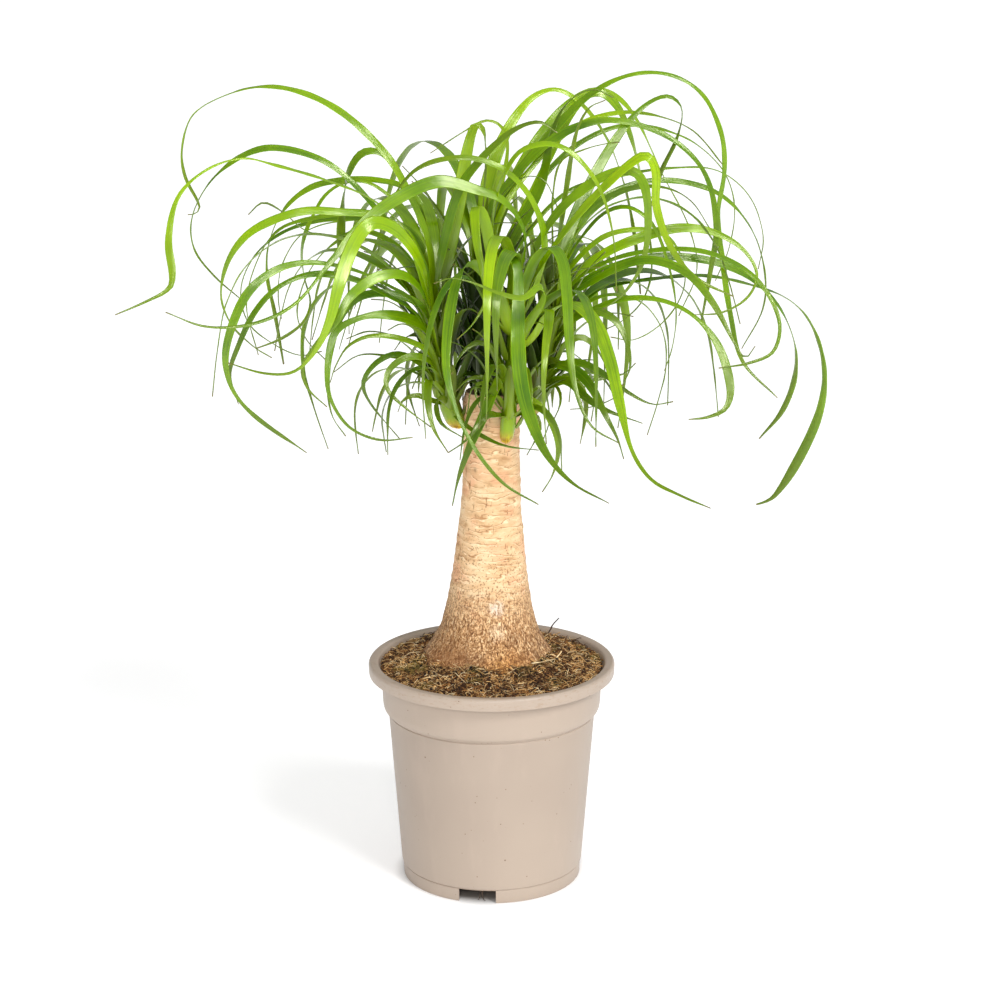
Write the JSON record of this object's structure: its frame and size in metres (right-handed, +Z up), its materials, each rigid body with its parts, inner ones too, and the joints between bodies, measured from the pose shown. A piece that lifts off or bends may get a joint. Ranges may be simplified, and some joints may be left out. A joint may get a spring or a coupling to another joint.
{
  "type": "potted ponytail palm",
  "caption": "Ponytail palm in a taupe nursery pot: a bare trunk with a swollen foot, cut off and crowned by shoots of long, arching, strap-shaped leaves.",
  "frame": {"origin": "on the ground, under the middle of the pot", "axes": "+Z up along the trunk, -Y towards the front, +X to the right as seen from the front"},
  "size_m": [0.529, 0.4112, 0.627],
  "materials": {
    "pot_plastic": "satin, moulded",
    "soil": "crumbly, damp peat and coir",
    "bark": "dry, cracked bark",
    "leaves": "smooth, half glossy"
  },
  "bodies": {
    "root": {"pot": "pot_plastic", "potting_soil": "soil", "trunk": "bark", "shoot_front": "leaves", "shoot_left": "leaves", "shoot_right": "leaves", "shoot_back": "leaves"}
  },
  "joints": []
}
